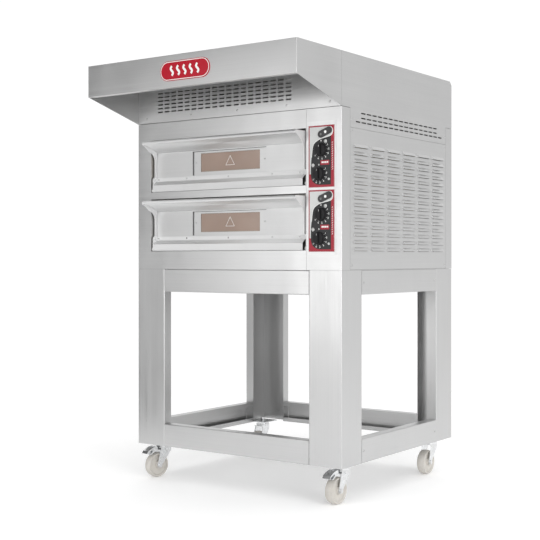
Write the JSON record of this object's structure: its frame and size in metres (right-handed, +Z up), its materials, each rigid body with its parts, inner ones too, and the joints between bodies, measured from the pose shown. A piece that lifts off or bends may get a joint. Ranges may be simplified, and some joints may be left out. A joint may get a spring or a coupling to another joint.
{
  "type": "deck pizza oven",
  "caption": "Electric deck pizza oven with stacked baking chambers, drop-down glazed doors, louvred sides and an extraction hood, on an open wheeled stand.",
  "frame": {"origin": "on the floor, under the middle of the whole machine", "axes": "+Z up, +X to the right of somebody facing the doors, -Y towards them"},
  "size_m": [0.996, 1.169, 1.685],
  "materials": {
    "steel": "fine satin brushed stainless steel",
    "liner": "aluminised sheet, lightly heat-tinted",
    "zinc": "bright zinc-plated pressed steel",
    "screw": "plated screw",
    "nylon": "off-white nylon",
    "refractory": "fired refractory slab",
    "element": "oxidised heating rod",
    "wool": "mineral wool",
    "overlay": "printed polyester overlay",
    "lens": "clear lens over white",
    "knob": "moulded black plastic",
    "black_plastic": "moulded plastic",
    "badge": "glossy enamel plate",
    "glass": "tempered tinted glass"
  },
  "bodies": {
    "root": {"stand_leg_front_left": "steel", "stand_leg_front_right": "steel", "stand_leg_rear_left": "steel", "stand_leg_rear_right": "steel", "stand_beam_front": "steel", "stand_rail_front": "steel", "stand_beam_rear": "steel", "stand_rail_rear": "steel", "stand_beam_left": "steel", "stand_rail_left": "steel", "stand_beam_right": "steel", "stand_rail_right": "steel", "caster_mount_plates": "zinc", "floor_pan": "steel", "front_panel": "steel", "side_panel_left": "steel", "side_panel_right": "steel", "back_panel": "steel", "cable_gland": "black_plastic", "chamber_lower": "liner", "chamber_upper": "liner", "stone_floors": "refractory", "heating_elements": "element", "insulation": "wool", "control_plate": "steel", "control_overlays": "overlay", "indicator_lamps": "lens", "thermostat_bodies": "black_plastic", "hood_fascia": "steel", "hood_side_left": "steel", "hood_side_right": "steel", "hood_top": "steel", "hood_grille": "steel", "flue_collar": "steel", "badge": "badge", "casing_screws": "screw"},
    "door_lower": {"door_lower_skin": "steel", "door_lower_cheeks": "steel", "door_lower_glass": "glass", "door_lower_liner": "liner"},
    "door_upper": {"door_upper_skin": "steel", "door_upper_cheeks": "steel", "door_upper_glass": "glass", "door_upper_liner": "liner"},
    "knob_lower_ceiling": {"knob_lower_ceiling": "knob"},
    "knob_lower_hearth": {"knob_lower_hearth": "knob"},
    "switch_lower": {"switch_lower": "knob"},
    "knob_upper_ceiling": {"knob_upper_ceiling": "knob"},
    "knob_upper_hearth": {"knob_upper_hearth": "knob"},
    "switch_upper": {"switch_upper": "knob"},
    "caster_swivel_front_left": {"caster_fork_front_left": "zinc"},
    "wheel_front_left": {"caster_wheel_front_left": "nylon"},
    "pedal_front_left": {"brake_pedal_front_left": "zinc"},
    "caster_swivel_front_right": {"caster_fork_front_right": "zinc"},
    "wheel_front_right": {"caster_wheel_front_right": "nylon"},
    "pedal_front_right": {"brake_pedal_front_right": "zinc"},
    "caster_swivel_rear_left": {"caster_fork_rear_left": "zinc"},
    "wheel_rear_left": {"caster_wheel_rear_left": "nylon"},
    "caster_swivel_rear_right": {"caster_fork_rear_right": "zinc"},
    "wheel_rear_right": {"caster_wheel_rear_right": "nylon"}
  },
  "joints": [
    {"name": "door_lower_hinge", "type": "hinge", "parent": "root", "child": "door_lower", "pos_m": [-0.042, -0.2865, 0.935], "axis": [1, 0, 0], "range_deg": [0, 90]},
    {"name": "door_upper_hinge", "type": "hinge", "parent": "root", "child": "door_upper", "pos_m": [-0.042, -0.2865, 1.1735], "axis": [1, 0, 0], "range_deg": [0, 90]},
    {"name": "knob_lower_ceiling_turn", "type": "hinge", "parent": "root", "child": "knob_lower_ceiling", "pos_m": [0.404, -0.3045, 1.058], "axis": [0, 1, 0], "range_deg": [0, 231]},
    {"name": "knob_lower_hearth_turn", "type": "hinge", "parent": "root", "child": "knob_lower_hearth", "pos_m": [0.395, -0.3045, 0.971], "axis": [0, 1, 0], "range_deg": [0, 231]},
    {"name": "switch_lower_press", "type": "slide", "parent": "root", "child": "switch_lower", "axis": [0, 1, 0], "range_m": [0, 0.0025], "stiffness_N_per_m": 600},
    {"name": "knob_upper_ceiling_turn", "type": "hinge", "parent": "root", "child": "knob_upper_ceiling", "pos_m": [0.404, -0.3045, 1.292], "axis": [0, 1, 0], "range_deg": [0, 231]},
    {"name": "knob_upper_hearth_turn", "type": "hinge", "parent": "root", "child": "knob_upper_hearth", "pos_m": [0.395, -0.3045, 1.205], "axis": [0, 1, 0], "range_deg": [0, 231]},
    {"name": "switch_upper_press", "type": "slide", "parent": "root", "child": "switch_upper", "axis": [0, 1, 0], "range_m": [0, 0.0025], "stiffness_N_per_m": 600},
    {"name": "caster_swivel_front_left_turn", "type": "hinge", "parent": "root", "child": "caster_swivel_front_left", "pos_m": [-0.433, -0.2045, 0.13], "axis": [0, 0, 1], "continuous": true},
    {"name": "wheel_front_left_roll", "type": "hinge", "parent": "caster_swivel_front_left", "child": "wheel_front_left", "pos_m": [-0.43968, -0.23886, 0.05], "axis": [0.9816, -0.1908, 0], "continuous": true},
    {"name": "pedal_front_left_press", "type": "hinge", "parent": "caster_swivel_front_left", "child": "pedal_front_left", "pos_m": [-0.43415, -0.21039, 0.112], "axis": [0.9816, -0.1908, 0], "range_deg": [0, 8]},
    {"name": "caster_swivel_front_right_turn", "type": "hinge", "parent": "root", "child": "caster_swivel_front_right", "pos_m": [0.433, -0.2045, 0.13], "axis": [0, 0, 1], "continuous": true},
    {"name": "wheel_front_right_roll", "type": "hinge", "parent": "caster_swivel_front_right", "child": "wheel_front_right", "pos_m": [0.43117, -0.23945, 0.05], "axis": [0.9986, -0.0523, 0], "continuous": true},
    {"name": "pedal_front_right_press", "type": "hinge", "parent": "caster_swivel_front_right", "child": "pedal_front_right", "pos_m": [0.43269, -0.21049, 0.112], "axis": [0.9986, -0.0523, 0], "range_deg": [0, 8]},
    {"name": "caster_swivel_rear_left_turn", "type": "hinge", "parent": "root", "child": "caster_swivel_rear_left", "pos_m": [-0.433, 0.4945, 0.13], "axis": [0, 0, 1], "continuous": true},
    {"name": "wheel_rear_left_roll", "type": "hinge", "parent": "caster_swivel_rear_left", "child": "wheel_rear_left", "pos_m": [-0.433, 0.4595, 0.05], "axis": [1, 0, 0], "continuous": true},
    {"name": "caster_swivel_rear_right_turn", "type": "hinge", "parent": "root", "child": "caster_swivel_rear_right", "pos_m": [0.433, 0.4945, 0.13], "axis": [0, 0, 1], "continuous": true},
    {"name": "wheel_rear_right_roll", "type": "hinge", "parent": "caster_swivel_rear_right", "child": "wheel_rear_right", "pos_m": [0.433, 0.4595, 0.05], "axis": [1, 0, 0], "continuous": true}
  ]
}
